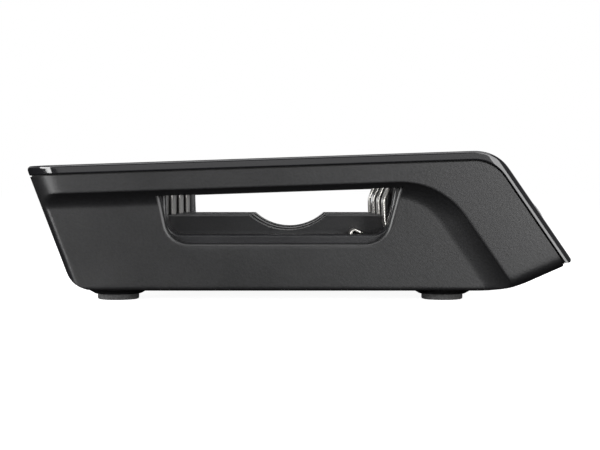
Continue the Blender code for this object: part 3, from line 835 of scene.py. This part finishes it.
def bay_section(y, low_z, low_radius):
    """A groove's section across the tray, its upper edges rounded over the islands."""
    side = GROOVE_HALF + ISLAND_EDGE
    shoulder_z = ISLAND_TOP_Z - ISLAND_EDGE
    left = list(arc(Vector((-side, ISLAND_TOP_Z)), Vector((-side, shoulder_z)), -pi / 2))
    hollow = rounded([(-GROOVE_HALF, shoulder_z, 0), (-GROOVE_HALF, low_z, low_radius),
                      (GROOVE_HALF, low_z, low_radius), (GROOVE_HALF, shoulder_z, 0)],
                     closed=False)[1:-1]
    right = [Vector((-p.x, p.y)) for p in reversed(left)]
    lid = [Vector((side, 40)), Vector((-side, 40))]
    return shifted(left + hollow + right + lid, y)


def cell_tray():
    """The moulding under the cells: grooves, islands with a thumb notch, contact trenches."""
    tray = prism("cell_tray", "XY", rectangle(TRAY_X, (-TRAY_HALF, TRAY_HALF), 2.5),
                 TRAY_LOW_Z, TRAY_TOP_Z)
    tools = [prism("well", "XY", rectangle(WELL_X, (-WELL_HALF, WELL_HALF), 2),
                   ISLAND_TOP_Z, 40)]
    for y in BAY_CENTRES.values():
        tools.append(prism("groove", "YZ", bay_section(y, GROOVE_LOW_Z, GROOVE_HALF - 0.05),
                           WELL_X[0], TRENCH_X + 1))
        tools.append(prism("trench", "YZ", bay_section(y, 5, 0.3), TRENCH_X, WELL_X[1]))
        tools.append(prism("slot", "XY", rectangle((WELL_X[0], WELL_X[0] + 1.4),
                                                   (y - 2.6, y + 2.6)), 5, 20))
    radius = (NOTCH_HALF_CHORD ** 2 + NOTCH_DEPTH ** 2) / (2 * NOTCH_DEPTH)
    notch = circle((NOTCH_X, ISLAND_TOP_Z - NOTCH_DEPTH + radius), radius, 120)
    tools.append(prism("notch", "XZ", notch, 0.5 - WELL_HALF, WELL_HALF - 0.5))
    outer = max(BAY_CENTRES.values()) + GROOVE_HALF - 0.5
    tools += [window_cutter(CUTOUT, side, TRAY_HALF, outer, CUTOUT_FLARE) for side in (-1, 1)]
    carve(tray, tools)
    for x, y in SCREW_PLACES:
        carve(tray, [turned("post", [(POST_RADIUS, z) for z in POST_Z], 32, (x, y, 0))],
              "UNION")
    carve(tray, [turned("bore", [(BORE_RADIUS, z) for z in BORE_Z], 32, (x, y, 0))
                 for x, y in SCREW_PLACES])
    return smooth(tray)


def leaf_outline(length, corner_radius):
    return rounded([(0, -CONTACT_HALF, 0), (length, -CONTACT_HALF, corner_radius),
                    (length, CONTACT_HALF, corner_radius), (0, CONTACT_HALF, 0)])


def sprung_leaf(name, corners, y):
    """A contact leaf, bent along its side view, with rounded ends and softened edges."""
    path = rounded(corners, closed=False)
    length = path_lengths(np.array([tuple(p) for p in path]))[-1]
    return smooth(bent_strip(name, leaf_outline(length, LEAF_CORNER), CONTACT_THICKNESS, path,
                             STRIP_EDGE, y))


def positive_plate(name, y):
    """The flat plate at a bay's rear, where the cell's cap touches it, with a narrower tail
    below.
    """
    half = CONTACT_THICKNESS / 2
    outline = rounded([(y - 2, 6.5, 0), (y + 2, 6.5, 0), (y + 2, 10, 1), (y + 4, 12, 1),
                       (y + 4, 22.6, 1), (y - 4, 22.6, 1), (y - 4, 12, 1), (y - 2, 10, 1)])
    face = prism(name, "YZ", outline, POSITIVE_X - half, POSITIVE_X + half)
    return smooth(soften(face, STRIP_EDGE))


# ---- Front panel, feet ----

def display_lens(name):
    lens = prism(name, "XY", plate(DISPLAY_SIZE, 1.3), -1.5, -0.05, PANEL)
    return smooth(soften(lens, 0.2))


def battery_marks(name):
    """Generic level marks on the liquid-crystal panel: one cell outline for each bay."""
    low, high = MARK_LEVELS
    form = []
    for i in range(len(BAYS)):
        centre = (i - (len(BAYS) - 1) / 2) * MARK_PITCH
        frame_outline = shifted(plate((7.6, 3.6), 0.4), centre)
        body = prism("cell", "XY", frame_outline, low, high, PANEL)
        carve(body, [prism("inside", "XY", shifted(plate((7.0, 3.0), 0.2), centre),
                           low - 1, high + 1, PANEL)])
        form.append(body)
        form.append(prism("cap", "XY", shifted(plate((0.6, 1.6)), centre + 4.2), low, high,
                          PANEL))
        form += [prism("bar", "XY", shifted(plate((1.7, 2.2), 0.2), centre + k * 2.2), low,
                       high, PANEL) for k in (-1, 0, 1)]
    return join(name, form)


def join(name, parts):
    """One piece from several, in the world frame."""
    form = bmesh.new()
    for part in parts:
        mesh = part.data
        mesh.transform(part.matrix_world)
        form.from_mesh(mesh)
        bpy.data.objects.remove(part)
        bpy.data.meshes.remove(mesh)
    return from_bmesh(name, form)


def button_cap(name, side):
    """A push button with a rounded, slightly dished top, and the flange that holds it in."""
    levels = [(pill(BUTTON_SIZE, 1.2), -5.2), (pill(BUTTON_SIZE, 1.2), -4.55),
              (pill(BUTTON_SIZE), -4.54), (pill(BUTTON_SIZE), 0.2)]
    for i in range(1, 7):
        turn = pi / 2 * i / 6
        levels.append((pill(BUTTON_SIZE, 0.45 * (cos(turn) - 1)), 0.2 + 0.45 * sin(turn)))
    levels += [(pill(BUTTON_SIZE, -0.9), 0.62), (pill(BUTTON_SIZE, -1.8), 0.5)]
    place = PANEL @ Matrix.Translation(Vector((side * BUTTON_Y, 0, 0)) * MM)
    return smooth(loft(name, "XY", levels, place))


def rubber_foot(name, node):
    """A round pad with softened edges and a shallow hollow underneath."""
    (x0, x1), (y0, y1), (_, top) = [span(node, axis) for axis in range(3)]
    radius = (x1 - x0) / 2
    profile = [(radius - 1.5, 0.3), (radius - 1.25, 0.25), (radius - 1.0, 0.0),
               (radius - 0.35, 0.0), (radius - 0.1, 0.1), (radius, 0.35), (radius, top)]
    return smooth(turned(name, profile, 96, ((x0 + x1) / 2, (y0 + y1) / 2, 0)))


# ---- The pieces ----

def show(piece, finish, slot_name, body, *nodes):
    """Give a piece its finish, the body it rides on and the nodes it stands for; slot_name is
    not used.
    """
    piece.data.materials.clear()
    piece.data.materials.append(finish)
    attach(piece, body)
    if nodes:
        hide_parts(*nodes)


def keep(finish, *names):
    """Carry CAD nodes over as they are, with a procedural finish of their own."""
    for name in names:
        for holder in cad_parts[name].material_slots:
            holder.link = "OBJECT"
            holder.material = finish


def numbered(name, last=4):
    return [f"{name}_{n}" for n in range(1, last + 1)]


casing = grained("matte_casing", (0.007, 0.007, 0.0075), 0.40)
tray_plastic = grained("tray_plastic", (0.006, 0.006, 0.007), 0.34)
gloss = polished("gloss_black", (0.010, 0.010, 0.011), 0.10)
key_plastic = polished("key_plastic", (0.020, 0.020, 0.021), 0.24)
nickel = plated("nickel_strip", (0.74, 0.72, 0.68), 0.24)
cap_plate = plated("cap_plate", (0.30, 0.29, 0.28), 0.36)
steel = plated("screw_steel", (0.45, 0.45, 0.46), 0.30, (1, 1, 1))
black_rubber = rubber("foot_rubber", (0.045, 0.045, 0.045))
seal_foam = rubber("seal_foam", (0.006, 0.006, 0.006))
chip_resin = rubber("chip_resin", (0.020, 0.020, 0.021))
smoked = clear_plastic("smoked_lens", (0.30, 0.31, 0.32), 0.03)
crystal = liquid_crystal("liquid_crystal", (0.36, 0.41, 0.34))
mark_ink = rubber("crystal_marks", (0.012, 0.014, 0.012))
white_plastic = grained("white_plastic", (0.70, 0.71, 0.68), 0.42, 0.004)
flat_lead = grained("lead_jacket", (0.62, 0.62, 0.60), 0.5, 0.004)
board = circuit("solder_mask", (0.018, 0.115, 0.042))
copper = wound("copper_winding", (0.62, 0.28, 0.12))
sleeve = polished("capacitor_sleeve", (0.04, 0.06, 0.15), 0.3)

show(casing_shell(), casing, "casing", "charger", "main_housing")
show(gloss_plate(), gloss, "gloss_cover", "charger", "top_cover")
show(gap_seal(), seal_foam, "casing", "charger")
show(cell_tray(), tray_plastic, "bay_plastic", "charger", "bay_tray")
show(display_lens("lens"), smoked, "display_lens", "charger", "display_window")
show(battery_marks("level_marks"), mark_ink, "lcd", "charger")
for n in BAYS:
    y = BAY_CENTRES[n]
    show(sprung_leaf(f"aa_leaf_strip_{n}", AA_PATH, y), nickel, "contact_metal",
         f"aa_leaf_{n}", f"aa_contact_{n}")
    show(sprung_leaf(f"aaa_leaf_strip_{n}", AAA_PATH, y), nickel, "contact_metal",
         f"aaa_leaf_{n}", f"aaa_contact_{n}")
    show(positive_plate(f"positive_plate_{n}", y), cap_plate, "contact_metal", "charger",
         f"positive_contact_{n}")
    show(rubber_foot(f"pad_{n}", f"foot_{n}"), black_rubber, "rubber", "charger", f"foot_{n}")
for key, side in (("select", -1), ("mode", 1)):
    show(button_cap(f"{key}_cap", side), key_plastic, "button", f"{key}_key",
         f"{key}_button")

keep(casing, "base_cover")
keep(crystal, "lcd_panel")
keep(white_plastic, "light_guide", "display_connector", "board_connector")
keep(board, "display_board", "main_board")
keep(key_plastic, "dc_jack", "select_plunger", "mode_plunger")
keep(nickel, "jack_pin")
keep(steel, "select_switch", "mode_switch", *numbered("case_screw"))
keep(flat_lead, "ribbon_cable")
keep(copper, "inductor")
keep(sleeve, "input_capacitor", "output_capacitor")
keep(chip_resin, "controller_chip", *numbered("power_transistor", 2))


# ---- Camera, floor and light ----

CAMERA_PLACE = (0, -323.5, 22.8)
CAMERA_LENS = 80.1
CAMERA_DIP = 1.35
FLOOR_HALF = 40000


def soft_light(name, spot, target, size, power):
    """A square studio light at a spot, pointing at a target, both in millimetres."""
    lamp = bpy.data.lights.new(name, "AREA")
    lamp.shape = "RECTANGLE"
    lamp.size, lamp.size_y = [length * MM for length in size]
    lamp.energy = power
    holder = link(name, lamp)
    holder.location = Vector(spot) * MM
    aim = Vector(target) - Vector(spot)
    holder.rotation_euler = aim.to_track_quat("-Z", "Y").to_euler()


def studio():
    """A plain pale light table, and a surround that is white near the horizon, dim above."""
    floor = prism("floor", "XY", plate((2 * FLOOR_HALF, 2 * FLOOR_HALF)), -20, 0)
    paper, tree, shader = material("floor_paper", (0.85, 0.85, 0.85), 0.9,
                                   Emission_Color=(1, 1, 1, 1), Emission_Strength=0.92)
    vary(tree, shader.inputs["Base Color"], noise(tree, 0.02), (0.84, 0.84, 0.84),
         (0.86, 0.86, 0.86))
    floor.data.materials.append(paper)
    floor.visible_diffuse = floor.visible_glossy = False
    world = bpy.data.worlds.new("surround")
    world.use_nodes = True
    tree = world.node_tree
    place = tree.nodes.new("ShaderNodeTexCoord")
    split = tree.nodes.new("ShaderNodeSeparateXYZ")
    rise = tree.nodes.new("ShaderNodeMath")
    rise.operation = "ADD"
    rise.inputs[1].default_value = 0.01
    ramp = tree.nodes.new("ShaderNodeValToRGB")
    tree.links.new(place.outputs["Generated"], split.inputs["Vector"])
    tree.links.new(split.outputs["Z"], rise.inputs[0])
    tree.links.new(rise.outputs[0], ramp.inputs["Fac"])
    tree.links.new(ramp.outputs["Color"], tree.nodes["Background"].inputs["Color"])
    stops = [(0.0, 0.0), (0.002, 1.0), (0.165, 1.0), (0.21, 0.08), (1.0, 0.04)]
    while len(ramp.color_ramp.elements) < len(stops):
        ramp.color_ramp.elements.new(0.5)
    for element, (position, level) in zip(ramp.color_ramp.elements, stops):
        element.position = position
        element.color = (level, level, level, 1.0)
    bpy.context.scene.world = world
    bpy.context.scene.view_settings.view_transform = "Standard"


def camera():
    """The photograph's view: from the right-hand side, nearly level."""
    lens = bpy.data.cameras.new("camera")
    lens.lens = CAMERA_LENS
    lens.clip_start = 0.01
    view = link("camera", lens)
    view.location = Vector(CAMERA_PLACE) * MM
    view.rotation_euler = (radians(90 - CAMERA_DIP), 0, 0)
    bpy.context.scene.camera = view


studio()
camera()
soft_light("front_right", (330, -380, 120), (35, -46, 15), (520, 440), 4.2)
soft_light("front_left", (-380, -330, 90), (-54, -46, 22), (300, 300), 3.6)
soft_light("over_front", (30, -150, 360), (10, -46, 12), (500, 260), 1.4)
